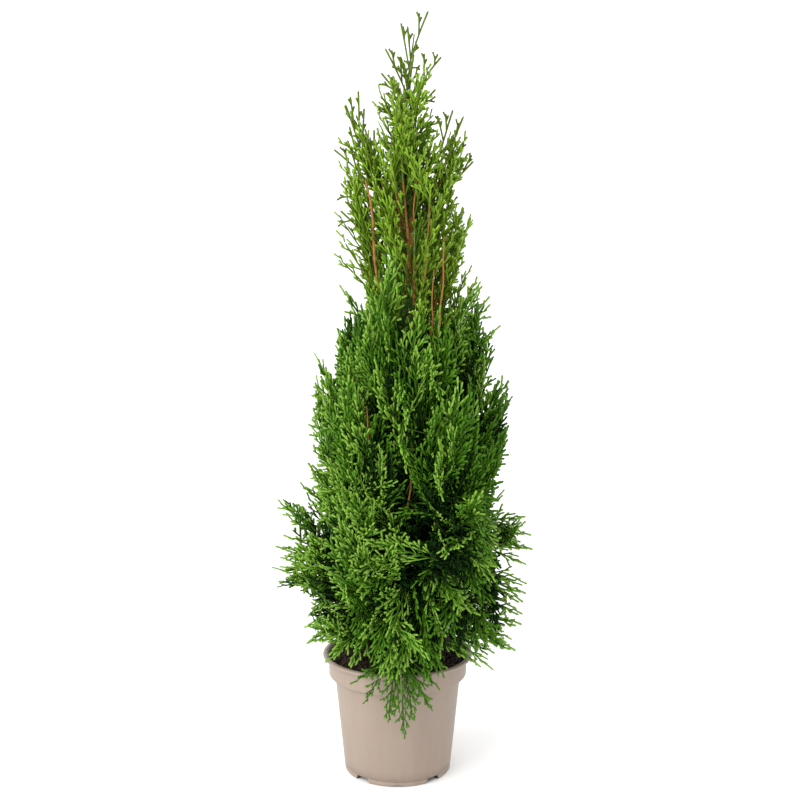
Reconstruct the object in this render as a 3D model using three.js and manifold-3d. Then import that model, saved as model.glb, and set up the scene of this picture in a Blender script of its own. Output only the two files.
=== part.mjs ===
// Potted thuja: a young upright conifer in its round nursery pot.
// Millimetres, +Z up, the front of the plant towards -Y.
// The origin is the centre of the pot's flat underside.
import * as THREE from 'three';
import { mergeVertices } from 'three/addons/utils/BufferGeometryUtils.js';
import Module from 'manifold-3d';

const wasm = await Module();
wasm.setup();

const GAP = 0.3; // clearance left between solids that touch

// Pot
const POT_HEIGHT = 152;
const LIP_RADIUS = 95;
const LIP_DEPTH = 5;
const LIP_INNER_RADIUS = 90.5;
const BAND_RADIUS = 87.2;
const BAND_BOTTOM_Z = 125;
const SHOULDER_RADIUS = 79.6;
const BODY_FOOT_RADIUS = 68;
const FOOT_RADIUS = 67.4;
const FOOT_HEIGHT = 6;
const POT_WALL = 1.8;
const POT_FLOOR = 2.2;
const POT_SEGMENTS = 30;
const NOTCH_ANGLES = [-131, -49, 49, 131];
const NOTCH_WIDTH = 18;
const NOTCH_LENGTH = 16;
const FRONT_NOTCH_WIDTH = 10;
const FRONT_NOTCH_HEIGHT = 1.3;

// Compost
const SOIL_Z = 138;
const SOIL_UNEVEN = 2.6;

// Trunk
const TRUNK_SIDES = 8;
const TRUNK_BASE_RADIUS = 8.2;
const TRUNK_TIP_RADIUS = 1.1;
const FLARE = 5.5;
const FLARE_HEIGHT = 13;
const TRUNK_LINE = [
  { x: 6, y: 3, z: SOIL_Z + GAP },
  { x: 6, y: 3, z: 170 },
  { x: 10, y: 5, z: 300 },
  { x: 16, y: 3, z: 450 },
  { x: 12, y: -2, z: 600 },
  { x: 17, y: -3, z: 725 },
  { x: 10, y: -2, z: 825 },
  { x: 20, y: 0, z: 915 },
];

// Each tier holds masses of foliage round the trunk. Heights in mm above the
// underside of the pot, reach and girth as radii, angles in degrees from +X;
// `flat` is a mass's depth against its width.
const TIERS = [
  {
    name: 'crest',
    root: [640, 668, 610, 655],
    foot: [704, 700, 672, 668],
    footRadius: 20,
    tip: [822, 843, 826, 818],
    reach: [74, 65, 50, 46],
    shift: 6,
    girth: [27, 24, 36, 34],
    flat: 0.62,
    arch: -2,
    azimuth: [4, 178, 262, 84],
    limb: 2.4,
    color: 0x6f9c34,
  },
  {
    name: 'spire',
    root: [500, 525, 480, 510],
    foot: [550, 576, 540, 548],
    footRadius: 26,
    tip: [768, 788, 768, 752],
    reach: [86, 78, 70, 74],
    shift: 4,
    girth: [42, 36, 50, 50],
    flat: 0.58,
    arch: 3,
    azimuth: [8, 176, 284, 70],
    limb: 3,
    color: 0x648f2f,
  },
  {
    name: 'shoulder',
    root: [376, 391, 356, 401],
    foot: [416, 430, 404, 418],
    footRadius: 30,
    tip: [614, 606, 648, 640],
    reach: [89, 78, 84, 86],
    shift: 16,
    girth: [62, 56, 68, 68],
    flat: 0.6,
    arch: -5,
    azimuth: [4, 184, 254, 98],
    limb: 3.6,
    color: 0x5c872c,
  },
  {
    name: 'middle',
    root: [276, 296, 266, 286, 281],
    foot: [306, 320, 298, 308, 304],
    footRadius: 36,
    tip: [494, 520, 506, 524, 498],
    reach: [127, 109, 116, 120, 122],
    shift: 12,
    girth: [64, 60, 66, 68, 66],
    flat: 0.62,
    arch: -7,
    azimuth: [354, 174, 232, 64, 300],
    limb: 4.2,
    color: 0x547d29,
  },
  {
    name: 'lower',
    root: [198, 212, 186, 206, 194, 218],
    foot: [222, 236, 214, 222, 216, 228],
    footRadius: 42,
    tip: [320, 342, 378, 390, 372, 380],
    reach: [158, 150, 138, 140, 140, 138],
    shift: 9,
    girth: [58, 58, 64, 64, 64, 62],
    flat: 0.72,
    arch: 2,
    azimuth: [1, 181, 244, 56, 306, 122],
    limb: 4.6,
    color: 0x4d7526,
  },
  {
    name: 'skirt',
    root: [152, 166, 150, 162],
    foot: [186, 188, 178, 182],
    footRadius: 32,
    tip: [214, 258, 186, 208],
    reach: [154, 151, 130, 138],
    shift: 3,
    girth: [62, 60, 72, 68],
    flat: 0.76,
    arch: 4,
    azimuth: [350, 186, 268, 92],
    limb: 4.2,
    color: 0x466c24,
  },
];

// The spray that hangs over the front of the pot's rim
const HANGING = {
  name: 'hanging',
  root: 150,
  foot: { x: 2, y: -64, z: 172 },
  bend: { x: 4, y: -128, z: 188 },
  tip: { x: 6, y: -112, z: 84 },
  girth: 24,
  flat: 0.55,
  limb: 2,
  color: 0x55802a,
};

// The tuft round the tip of the trunk
const TOP = {
  name: 'top',
  foot: { x: 10, y: -2, z: 792 },
  bend: { x: 8, y: -2, z: 880 },
  tip: { x: 29, y: 0, z: 944 },
  girth: 27,
  flat: 0.9,
  color: 0x78a838,
};

const MASS_SIDES = 8;
const MASS_STOPS = [0.05, 0.24, 0.47, 0.7, 0.9];
const BOUGH_SIDES = 5;
const BOUGH_DEPTH = 0.36; // how far along its mass a bough runs

const FOLIAGE_FINISH = { roughness: 0.72, metalness: 0 };
const BARK_FINISH = { roughness: 0.86, metalness: 0 };
const BARK_COLOR = 0x5f4029;
const YOUNG_BARK_COLOR = 0x8a5530;
const POT_LOOK = { color: 0xb9a695, roughness: 0.5, metalness: 0 };
const COMPOST_LOOK = { color: 0x2f2218, roughness: 0.95, metalness: 0 };

const EAST = new THREE.Vector3(1, 0, 0);
const UP = new THREE.Vector3(0, 0, 1);

const point = (p) => new THREE.Vector3(p.x, p.y, p.z);
const radians = (degrees) => (degrees * Math.PI) / 180;
const ramp = (t, a, b) => a + (b - a) * t;

function toManifold(geometry) {
  const bare = new THREE.BufferGeometry();
  bare.setAttribute('position', geometry.getAttribute('position').clone());
  bare.setIndex(geometry.getIndex());
  const merged = mergeVertices(bare, 1e-3);
  return new wasm.Manifold(new wasm.Mesh({
    numProp: 3,
    vertProperties: Float32Array.from(merged.getAttribute('position').array),
    triVerts: Uint32Array.from(merged.getIndex().array),
  }));
}

function toGeometry(solid) {
  const mesh = solid.getMesh();
  const geometry = new THREE.BufferGeometry();
  geometry.setAttribute('position', new THREE.BufferAttribute(mesh.vertProperties, 3));
  geometry.setIndex(new THREE.BufferAttribute(mesh.triVerts, 1));
  geometry.computeVertexNormals();
  return geometry;
}

function largestBody(solid) {
  const bodies = solid.decompose();
  return bodies.reduce((best, body) => (body.volume() > best.volume() ? body : best));
}

// A closed skin of rings strung along a curve, with a point at either end.
// Each ring's first spoke points along `across`, as seen down the curve.
// `grow` thickens the whole solid, ends included.
function skin(curve, { stops, sides, radiusAt, across, grow, heading }) {
  const positions = [];
  for (const t of stops) {
    const forward = heading ?? curve.getTangentAt(t);
    const first = across.clone().projectOnPlane(forward).normalize();
    const second = forward.clone().cross(first);
    const centre = endPoint(curve, t, grow);
    for (let s = 0; s < sides; s += 1) {
      const angle = (s / sides) * Math.PI * 2;
      const radius = radiusAt(t, angle) + grow;
      const p = centre.clone();
      p.addScaledVector(first, Math.cos(angle) * radius);
      p.addScaledVector(second, Math.sin(angle) * radius);
      positions.push(p.x, p.y, p.z);
    }
  }
  positions.push(...endPoint(curve, 0, grow).toArray(), ...endPoint(curve, 1, grow).toArray());
  const geometry = new THREE.BufferGeometry();
  geometry.setAttribute('position', new THREE.Float32BufferAttribute(positions, 3));
  geometry.setIndex(skinFaces(stops.length, sides));
  return geometry;
}

// A point of the curve; its two ends lie `grow` further out.
function endPoint(curve, t, grow) {
  const past = (t === 1 ? 1 : 0) - (t === 0 ? 1 : 0);
  return curve.getPointAt(t).addScaledVector(curve.getTangentAt(t), past * grow);
}

function skinFaces(rings, sides) {
  const faces = [];
  const startPole = rings * sides;
  const endPole = startPole + 1;
  const last = (rings - 1) * sides;
  for (let s = 0; s < sides; s += 1) {
    const next = (s + 1) % sides;
    faces.push(startPole, next, s);
    faces.push(endPole, last + s, last + next);
    for (let r = 0; r < rings - 1; r += 1) {
      const a = r * sides + s;
      const b = r * sides + next;
      faces.push(a, b, b + sides, a, b + sides, a + sides);
    }
  }
  return faces;
}

// ---- Pot: thin moulded wall with a rolled lip, a stepped band and a foot ----

function potProfile() {
  const shape = new THREE.Shape();
  const lipBottom = POT_HEIGHT - LIP_DEPTH;
  shape.moveTo(0, 0);
  shape.lineTo(FOOT_RADIUS - 1.2, 0);
  shape.lineTo(FOOT_RADIUS, 1.2);
  shape.lineTo(FOOT_RADIUS, FOOT_HEIGHT);
  shape.lineTo(BODY_FOOT_RADIUS, FOOT_HEIGHT + 0.6);
  shape.lineTo(SHOULDER_RADIUS, BAND_BOTTOM_Z - 2);
  shape.quadraticCurveTo(SHOULDER_RADIUS + 0.6, BAND_BOTTOM_Z, SHOULDER_RADIUS + 3, BAND_BOTTOM_Z);
  shape.lineTo(BAND_RADIUS - 1.6, BAND_BOTTOM_Z);
  shape.quadraticCurveTo(BAND_RADIUS, BAND_BOTTOM_Z, BAND_RADIUS, BAND_BOTTOM_Z + 2);
  shape.lineTo(BAND_RADIUS + 0.8, lipBottom);
  shape.lineTo(LIP_RADIUS - 1.8, lipBottom);
  shape.quadraticCurveTo(LIP_RADIUS, lipBottom, LIP_RADIUS, lipBottom + 2);
  shape.quadraticCurveTo(LIP_RADIUS, POT_HEIGHT, LIP_INNER_RADIUS + 1.4, POT_HEIGHT);
  shape.quadraticCurveTo(LIP_INNER_RADIUS - 1, POT_HEIGHT, BAND_RADIUS - 0.6, POT_HEIGHT - 4);
  shape.lineTo(BAND_RADIUS - POT_WALL, BAND_BOTTOM_Z + POT_WALL + 1);
  shape.lineTo(SHOULDER_RADIUS - POT_WALL, BAND_BOTTOM_Z + POT_WALL - 1);
  shape.lineTo(BODY_FOOT_RADIUS - POT_WALL, FOOT_HEIGHT + POT_FLOOR + 2);
  shape.lineTo(BODY_FOOT_RADIUS - POT_WALL - 2, FOOT_HEIGHT + POT_FLOOR);
  shape.lineTo(0, FOOT_HEIGHT + POT_FLOOR);
  return shape.getPoints(2);
}

function blockAt(width, depth, height, radius, azimuth) {
  const block = new THREE.BoxGeometry(depth, width, height);
  block.translate(radius, 0, 0);
  block.rotateZ(radians(azimuth));
  return toManifold(block);
}

function buildPot() {
  let pot = toManifold(new THREE.LatheGeometry(potProfile(), POT_SEGMENTS).rotateX(Math.PI / 2));
  for (const angle of NOTCH_ANGLES) {
    const azimuth = angle - 90;
    const reach = FOOT_RADIUS;
    pot = pot.subtract(blockAt(NOTCH_WIDTH, NOTCH_LENGTH * 2, FOOT_HEIGHT * 2, reach, azimuth));
  }
  const front = blockAt(FRONT_NOTCH_WIDTH, NOTCH_LENGTH * 2, FRONT_NOTCH_HEIGHT * 2, FOOT_RADIUS, -90);
  return pot.subtract(front);
}

// The room the pot takes up, used to keep foliage clear of it
function potEnvelope(grow) {
  const height = POT_HEIGHT + grow;
  const points = [
    new THREE.Vector2(0, 0),
    new THREE.Vector2(FOOT_RADIUS + grow, 0),
    new THREE.Vector2(SHOULDER_RADIUS + grow, BAND_BOTTOM_Z - 1),
    new THREE.Vector2(BAND_RADIUS + grow + 0.8, BAND_BOTTOM_Z - 1),
    new THREE.Vector2(BAND_RADIUS + grow + 0.8, height - LIP_DEPTH - 2 * grow),
    new THREE.Vector2(LIP_RADIUS + grow, height - LIP_DEPTH - 2 * grow),
    new THREE.Vector2(LIP_RADIUS + grow, height - 2),
    new THREE.Vector2(LIP_RADIUS - 2, height),
    new THREE.Vector2(0, height),
  ];
  return toManifold(new THREE.LatheGeometry(points, POT_SEGMENTS).rotateX(Math.PI / 2));
}

// ---- Compost: fills the pot to a little below its rim ----

const soilRelief = (x, y) => Math.sin(x / 17 + 1.3) * Math.cos(y / 13 - 0.6);

function buildCompost() {
  const inner = (z) => {
    const t = (z - FOOT_HEIGHT) / (BAND_BOTTOM_Z - FOOT_HEIGHT);
    return ramp(t, BODY_FOOT_RADIUS, SHOULDER_RADIUS) - POT_WALL - GAP;
  };
  const floor = FOOT_HEIGHT + POT_FLOOR + GAP;
  const topRadius = BAND_RADIUS - POT_WALL - GAP;
  const profile = [
    new THREE.Vector2(0, floor),
    new THREE.Vector2(inner(floor) - 3, floor),
    new THREE.Vector2(inner(floor + 3) - 0.4, floor + 3),
    new THREE.Vector2(inner(BAND_BOTTOM_Z) - 0.4, BAND_BOTTOM_Z + POT_WALL),
    new THREE.Vector2(topRadius - 0.4, BAND_BOTTOM_Z + POT_WALL + 3),
    new THREE.Vector2(topRadius - 0.2, SOIL_Z - 2),
    new THREE.Vector2(58, SOIL_Z),
    new THREE.Vector2(26, SOIL_Z),
    new THREE.Vector2(0, SOIL_Z),
  ];
  const geometry = new THREE.LatheGeometry(profile, POT_SEGMENTS).rotateX(Math.PI / 2);
  const position = geometry.getAttribute('position');
  for (let i = 0; i < position.count; i += 1) {
    const x = position.getX(i);
    const y = position.getY(i);
    const away = THREE.MathUtils.smoothstep(Math.hypot(x, y), 26, 50);
    const isTop = position.getZ(i) > SOIL_Z - 3;
    position.setZ(i, position.getZ(i) + (isTop ? away * SOIL_UNEVEN * soilRelief(x, y) : 0));
  }
  return toManifold(geometry);
}

// ---- Trunk: one leader from the compost to the top of the crown ----

const trunkCurve = new THREE.CatmullRomCurve3(TRUNK_LINE.map(point));

function trunkRadius(t, angle) {
  const height = trunkCurve.getPointAt(t).z - SOIL_Z;
  const taper = ramp(Math.pow(t, 0.85), TRUNK_BASE_RADIUS, TRUNK_TIP_RADIUS);
  const buttress = 1 + 0.3 * Math.sin(4 * angle + 0.7) + 0.15 * Math.sin(3 * angle);
  return taper + FLARE * Math.exp(-height / FLARE_HEIGHT) * buttress;
}

function buildTrunk(grow) {
  const stops = [0, 0.008, 0.02, 0.045, 0.14, 0.27, 0.4, 0.52, 0.64, 0.74, 0.83, 0.91, 1];
  return toManifold(skin(trunkCurve, {
    stops,
    sides: TRUNK_SIDES,
    radiusAt: trunkRadius,
    across: EAST,
    grow,
    heading: UP,
  }));
}

function trunkCentre(z) {
  let low = 0;
  let high = 1;
  for (let i = 0; i < 24; i += 1) {
    const middle = (low + high) / 2;
    if (trunkCurve.getPointAt(middle).z < z) low = middle;
    else high = middle;
  }
  return trunkCurve.getPointAt(low);
}

// ---- Foliage masses: uneven closed plumes, full below and drawn to a tip ----

function plumeRadius(mass, t, angle) {
  const body = (Math.pow(t, 0.5) * Math.pow(1 - t, 0.7)) / 0.457;
  const lobes = 0.13 * Math.sin(3 * angle + mass.phase + 4 * t);
  const ripple = 0.1 * Math.sin(5 * angle - 2 * mass.phase + 9 * t);
  const knots = 0.07 * Math.sin(14 * t + mass.phase);
  const flat = 1 / Math.hypot(Math.cos(angle), Math.sin(angle) / mass.flat);
  return mass.girth * body * flat * (1 + lobes + ripple + knots);
}

function plume(mass, grow) {
  return toManifold(skin(mass.curve, {
    stops: MASS_STOPS,
    sides: MASS_SIDES,
    radiusAt: (t, angle) => plumeRadius(mass, t, angle),
    across: mass.across,
    grow,
  }));
}

function tierMass(tier, i) {
  const azimuth = radians(tier.azimuth[i]);
  const outward = new THREE.Vector3(Math.cos(azimuth), Math.sin(azimuth), 0);
  const core = trunkCentre(tier.foot[i]);
  const foot = core.clone().addScaledVector(outward, tier.footRadius);
  const tip = outward.clone().multiplyScalar(tier.reach[i]);
  tip.x += tier.shift;
  tip.z = tier.tip[i];
  const bend = foot.clone().lerp(tip, 0.5);
  bend.z += tier.arch;
  bend.addScaledVector(outward, -tier.arch * 0.8);
  return {
    name: `${tier.name}_${i + 1}`,
    curve: new THREE.QuadraticBezierCurve3(foot, bend, tip),
    across: new THREE.Vector3(-outward.y, outward.x, 0),
    root: trunkCentre(tier.root[i]),
    girth: tier.girth[i],
    flat: tier.flat,
    limb: tier.limb,
    color: tier.color,
    phase: 1.7 * i + tier.root[i] * 0.11,
  };
}

function singleMass(spec) {
  return {
    ...spec,
    curve: new THREE.QuadraticBezierCurve3(point(spec.foot), point(spec.bend), point(spec.tip)),
    across: EAST,
    root: spec.root ? trunkCentre(spec.root) : null,
    phase: spec.girth,
  };
}

function listMasses() {
  const masses = [singleMass(TOP), singleMass(HANGING)];
  for (const tier of TIERS) {
    tier.root.forEach((_, i) => masses.push(tierMass(tier, i)));
  }
  return masses;
}

// ---- Boughs: one tapering limb from the trunk into each mass ----

function boughCurve(mass) {
  const foot = mass.curve.getPointAt(0);
  const inner = mass.curve.getPointAt(BOUGH_DEPTH / 2);
  const end = mass.curve.getPointAt(BOUGH_DEPTH);
  return new THREE.CatmullRomCurve3([mass.root, foot, inner, end]);
}

function bough(mass, grow) {
  return toManifold(skin(boughCurve(mass), {
    stops: [0, 0.5, 1],
    sides: BOUGH_SIDES,
    radiusAt: (t) => ramp(t, mass.limb, mass.limb * 0.5),
    across: mass.across,
    grow,
  }));
}

// ---- The whole plant ----

function mesh(name, solid, look) {
  const part = new THREE.Mesh(toGeometry(solid), new THREE.MeshStandardMaterial(look));
  part.name = name;
  return part;
}

function addBoughs(group, masses) {
  let taken = buildTrunk(GAP);
  for (const mass of masses.filter((m) => m.root)) {
    const solid = largestBody(bough(mass, 0).subtract(taken));
    const color = mass.limb < 3 ? YOUNG_BARK_COLOR : BARK_COLOR;
    group.add(mesh(`bough_${mass.name}`, solid, { color, ...BARK_FINISH }));
    taken = taken.add(bough(mass, GAP));
  }
  return taken;
}

function addMasses(group, masses, wood) {
  let taken = wood.add(potEnvelope(GAP * 2));
  for (const mass of masses) {
    const solid = largestBody(plume(mass, 0).subtract(taken));
    group.add(mesh(`foliage_${mass.name}`, solid, { color: mass.color, ...FOLIAGE_FINISH }));
    taken = taken.add(plume(mass, GAP));
  }
}

const thuja = new THREE.Group();
thuja.name = 'potted_thuja';
thuja.add(mesh('pot', buildPot(), POT_LOOK));
thuja.add(mesh('compost', buildCompost(), COMPOST_LOOK));
thuja.add(mesh('trunk', buildTrunk(0), { color: BARK_COLOR, ...BARK_FINISH }));
const allMasses = listMasses();
addMasses(thuja, allMasses, addBoughs(thuja, allMasses));

export default thuja;
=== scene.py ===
import math

import bmesh
import bpy
import numpy as np
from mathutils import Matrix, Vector, noise


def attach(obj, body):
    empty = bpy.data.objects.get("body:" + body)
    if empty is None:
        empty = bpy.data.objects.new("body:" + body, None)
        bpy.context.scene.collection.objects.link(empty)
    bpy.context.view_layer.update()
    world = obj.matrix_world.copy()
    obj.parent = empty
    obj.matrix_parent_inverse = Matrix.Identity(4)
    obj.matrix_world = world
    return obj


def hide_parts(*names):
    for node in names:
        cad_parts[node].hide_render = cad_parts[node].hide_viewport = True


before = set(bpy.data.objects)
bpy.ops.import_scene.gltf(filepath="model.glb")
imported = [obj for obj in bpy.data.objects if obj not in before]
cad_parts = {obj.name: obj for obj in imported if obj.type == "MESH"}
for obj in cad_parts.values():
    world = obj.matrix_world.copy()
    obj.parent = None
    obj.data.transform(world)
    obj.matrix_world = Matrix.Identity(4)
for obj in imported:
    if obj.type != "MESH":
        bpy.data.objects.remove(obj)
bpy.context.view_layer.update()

# ---- Pot ----
# A thin injection-moulded polypropylene nursery pot: tapered body, stepped
# stacking band, rolled lip and a foot cut by four drainage notches.

POT_STEPS = 180
# metres, and the edges in degrees round the pot from its front
POT_FOOT_RADIUS = 0.0674
POT_FOOT_HEIGHT = 0.006
POT_NOTCH_DEPTH = 0.016
POT_MARK_EDGE = 4.5
POT_MARK_DEPTH = 0.0019
POT_NOTCH_EDGES = [(33, 49), (-49, -33), (131, 147), (-147, -131)]


def rounded(centre, radius, start, end, count):
    """Points of a rounded corner in the pot's section, angles in degrees."""
    turns = [math.radians(start + (end - start) * i / count) for i in range(count + 1)]
    return [(centre[0] + radius * math.cos(a), centre[1] + radius * math.sin(a)) for a in turns]


pot_section = [(0.0, 0.0), (POT_FOOT_RADIUS - POT_NOTCH_DEPTH - 0.0012, 0.0)]
pot_section += [(POT_FOOT_RADIUS - POT_NOTCH_DEPTH, 0.0), (0.0600, 0.0)]
pot_section += rounded((0.0661, 0.0013), 0.0013, -90, 0, 4)
pot_section += [(0.0674, 0.0052), (0.0669, 0.0057), (0.0669, 0.0063), (0.0680, 0.0068)]
pot_section += [(0.0680 + 0.0116 * i / 9, 0.0068 + 0.1142 * i / 9) for i in range(1, 10)]
pot_section += rounded((0.0812, 0.1222), 0.0016, 180, 90, 4)
pot_section += [(0.0832, 0.1240), (0.0852, 0.1240)]
pot_section += rounded((0.0856, 0.1258), 0.0018, -90, 0, 5)
pot_section += [(0.0875, 0.1340), (0.0878, 0.1420)]
pot_section += rounded((0.0893, 0.1458), 0.0012, 180, 90, 4)
pot_section += [(0.0918, 0.1470)]
pot_section += rounded((0.0928, 0.1492), 0.0022, -90, 60, 8)
pot_section += [(0.0915, 0.1519), (0.0900, 0.1515), (0.0886, 0.1504), (0.0876, 0.1488)]
pot_section += [(0.0866, 0.1455), (0.0858, 0.1300), (0.0840, 0.1268), (0.0780, 0.1258)]
pot_section += [(0.0662, 0.0110), (0.0648, 0.0084), (0.0, 0.0082)]


def spin_section(section, steps):
    """A closed shell turned about the upright axis."""
    bm = bmesh.new()
    line = [bm.verts.new((r, 0, z)) for r, z in section]
    edges = [bm.edges.new(pair) for pair in zip(line, line[1:])]
    bmesh.ops.spin(
        bm, geom=line + edges, cent=(0, 0, 0), axis=(0, 0, 1), angle=2 * math.pi,
        steps=steps, use_merge=True, use_duplicate=False,
    )
    bmesh.ops.remove_doubles(bm, verts=bm.verts, dist=1e-5)
    bmesh.ops.recalc_face_normals(bm, faces=bm.faces)
    return bm


def cut_pot_notches(bm):
    """Lifts the foot's edge at the drainage notches and at the front mark."""
    for v in bm.verts:
        turn = math.degrees(math.atan2(v.co.x, -v.co.y))
        outer = math.hypot(v.co.x, v.co.y) > POT_FOOT_RADIUS - POT_NOTCH_DEPTH - 0.0003
        if not outer or v.co.z > POT_FOOT_HEIGHT:
            continue
        if any(low <= turn <= high for low, high in POT_NOTCH_EDGES):
            v.co.z = max(v.co.z, POT_FOOT_HEIGHT - 0.0003)
        elif abs(turn) < POT_MARK_EDGE:
            v.co.z = max(v.co.z, POT_MARK_DEPTH)


pot_bm = spin_section(pot_section, POT_STEPS)
cut_pot_notches(pot_bm)
for face in pot_bm.faces:
    x, y, z = face.calc_center_median()
    turn = math.degrees(math.atan2(x, -y))
    in_notch = any(low - 1 < turn < high + 1 for low, high in POT_NOTCH_EDGES)
    # the faces under the drainage notches take the darker plastic: painted shade
    face.material_index = 1 if in_notch and z < 0.0059 and math.hypot(x, y) < 0.0664 else 0


def linear(hex_colour):
    """The linear RGBA of an sRGB hex colour."""
    channels = [int(hex_colour[i : i + 2], 16) / 255 for i in (1, 3, 5)]
    return (*(c / 12.92 if c <= 0.04045 else ((c + 0.055) / 1.055) ** 2.4 for c in channels), 1.0)


def new_material(name):
    """A node material, its Principled shader and a place on the piece itself."""
    material = bpy.data.materials.new(name)
    material.use_nodes = True
    tree = material.node_tree
    place = tree.nodes.new("ShaderNodeTexCoord").outputs["Object"]
    return material, tree, tree.nodes["Principled BSDF"], place


def feed(tree, node, **inputs):
    """Gives a node's inputs, by name or by number, their value or an output."""
    for key, value in inputs.items():
        socket = node.inputs[int(key[1:])] if key[1:].isdigit() else node.inputs[key.replace("_", " ")]
        if isinstance(value, bpy.types.NodeSocket):
            tree.links.new(value, socket)
        else:
            socket.default_value = value


def add(tree, kind, settings=None, **inputs):
    """A node of `kind` with its settings, fed with values or outputs."""
    node = tree.nodes.new(kind)
    for key, value in (settings or {}).items():
        setattr(node, key, value)
    feed(tree, node, **inputs)
    return node


def two_tone(tree, factor, dark, light):
    """Two colours mixed by a pattern; each is a hex colour or an output."""
    dark, light = (linear(c) if isinstance(c, str) else c for c in (dark, light))
    return add(tree, "ShaderNodeMix", {"data_type": "RGBA"}, Factor=factor, _6=dark, _7=light).outputs[2]


def relief(tree, height, strength, distance):
    """A pattern turned into relief of a depth in metres."""
    return add(tree, "ShaderNodeBump", Height=height, Strength=strength, Distance=distance).outputs[0]


def cloudy(tree, place, scale, detail, rough=0.5):
    """A noise with about `scale` clouds in a metre."""
    node = add(tree, "ShaderNodeTexNoise", Vector=place, Scale=scale, Detail=detail, Roughness=rough)
    return node.outputs["Fac"]


def mottled(name, clouds, dark, light, roughness, cells=None, **more):
    """A material of two tones.

    clouds: what `cloudy` takes; cells: scales or crumbs that stand in relief,
    as their number in a metre, their strength and their depth in metres
    """
    material, tree, shader, place = new_material(name)
    tones = two_tone(tree, cloudy(tree, place, *clouds), dark, light)
    feed(tree, shader, Base_Color=tones, Roughness=roughness, **more)
    if cells:
        cell = add(tree, "ShaderNodeTexVoronoi", Vector=place, Scale=cells[0])
        feed(tree, shader, Normal=relief(tree, cell.outputs["Distance"], *cells[1:]))
    return material


# Moulded polypropylene, taupe, with a fine spark-eroded mould texture: a soft
# satin sheen, faintly clouded where the dyed plastic cooled unevenly.
pot_plastic, tree, shader, place = new_material("moulded_polypropylene_taupe")
clouds = cloudy(tree, place, 28.0, 3.0, 0.55)
drawn = add(tree, "ShaderNodeMapping", Vector=place, Scale=(90, 90, 6)).outputs[0]
flow = cloudy(tree, drawn, 1.0, 2.0)
tone = two_tone(tree, clouds, "#8c7c6f", "#958577")
marks = add(
    tree, "ShaderNodeMapRange",
    Value=flow, From_Min=0.35, From_Max=0.75, To_Min=0.0, To_Max=0.22,
)
tint = two_tone(tree, marks.outputs[0], tone, "#7c6c5e")
sheen = add(tree, "ShaderNodeMapRange", Value=clouds, To_Min=0.42, To_Max=0.52)
grain = cloudy(tree, place, 1400.0, 1.0)  # 0.7 mm spark grain
feed(
    tree, shader, Base_Color=tint, Roughness=sheen.outputs[0], IOR=1.49,
    Normal=relief(tree, grain, 0.12, 0.0002),
)

# The same plastic under the drainage notches, darkened: painted shade in the recess under the foot.
pot_notch_shade = mottled("polypropylene_with_painted_notch_shade", (240.0, 3.0), "#1c130c", "#3a2c20", 0.7)


def smooth_mesh(name, bm):
    """Turns a bmesh into a mesh with smooth faces."""
    for face in bm.faces:
        face.smooth = True
    mesh = bpy.data.meshes.new(name)
    bm.to_mesh(mesh)
    bm.free()
    return mesh


def linked(name, data):
    """A new object in the scene for a mesh, a lamp or a camera."""
    item = bpy.data.objects.new(name, data)
    bpy.context.collection.objects.link(item)
    return item


def place_piece(name, mesh, materials, nodes=()):
    """Puts a mesh on the plant's one body, in the place of the solids named."""
    for material in materials:
        mesh.materials.append(material)
    piece = linked(name, mesh)
    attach(piece, "root")
    if nodes:
        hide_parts(*nodes)


def add_piece(name, bm, materials, nodes):
    """Turns a bmesh into a finished piece, like `place_piece` for a mesh."""
    place_piece(name, smooth_mesh(name, bm), materials, nodes)


add_piece("pot_shell", pot_bm, [pot_plastic, pot_notch_shade], ["pot"])

# ---- Compost ----
# Damp peat and bark compost, settled a little below the lip: dark crumbs,
# short bark fibres and a few pale grains of perlite.

SOIL_HEIGHT = 0.1385
SOIL_RADIUS = 0.0846


def soil_height(x, y):
    """The compost's lumpy surface, level where the trunk stands."""
    spot = Vector((x, y, 0))
    waves = 0.0026 * noise.noise(spot * 32) + 0.0016 * noise.noise(spot * 110)
    crumbs = 0.0009 * noise.noise(spot * 330)
    away = min(1.0, max(0.0, (math.hypot(x, y) - 0.014) / 0.03))
    return SOIL_HEIGHT + waves * away + crumbs


soil_section = [(0.0, SOIL_HEIGHT)]
soil_section += [(SOIL_RADIUS * (i / 46) ** 0.9, SOIL_HEIGHT) for i in range(1, 47)]
soil_section += [(0.0836, 0.1302), (0.0770, 0.1280), (0.0655, 0.0130), (0.0630, 0.0088), (0.0, 0.0088)]
soil_bm = spin_section(soil_section, 150)
for v in soil_bm.verts:
    if v.co.z > SOIL_HEIGHT - 0.001:
        v.co.z = soil_height(v.co.x, v.co.y)

# Peat and composted bark: nearly black when damp, matt, in crumbs of 2.4 mm,
# with brown fibres that catch the light.
compost = mottled(
    "damp_peat_compost", (160.0, 4.0, 0.7), "#120d0a", "#423021", 0.9, cells=(420.0, 0.7, 0.0012)
)

add_piece("compost_fill", soil_bm, [compost], ["compost"])

# Expanded perlite: chalk-white, dull and porous.
perlite = mottled("expanded_perlite", (900.0, 3.0), "#a7a196", "#d0ccc4", 0.95)

# Shredded bark: dull mid-brown chips.
bark_chip = mottled("shredded_bark_chips", (300.0, 4.0), "#271a11", "#60422a", 0.88)


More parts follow.
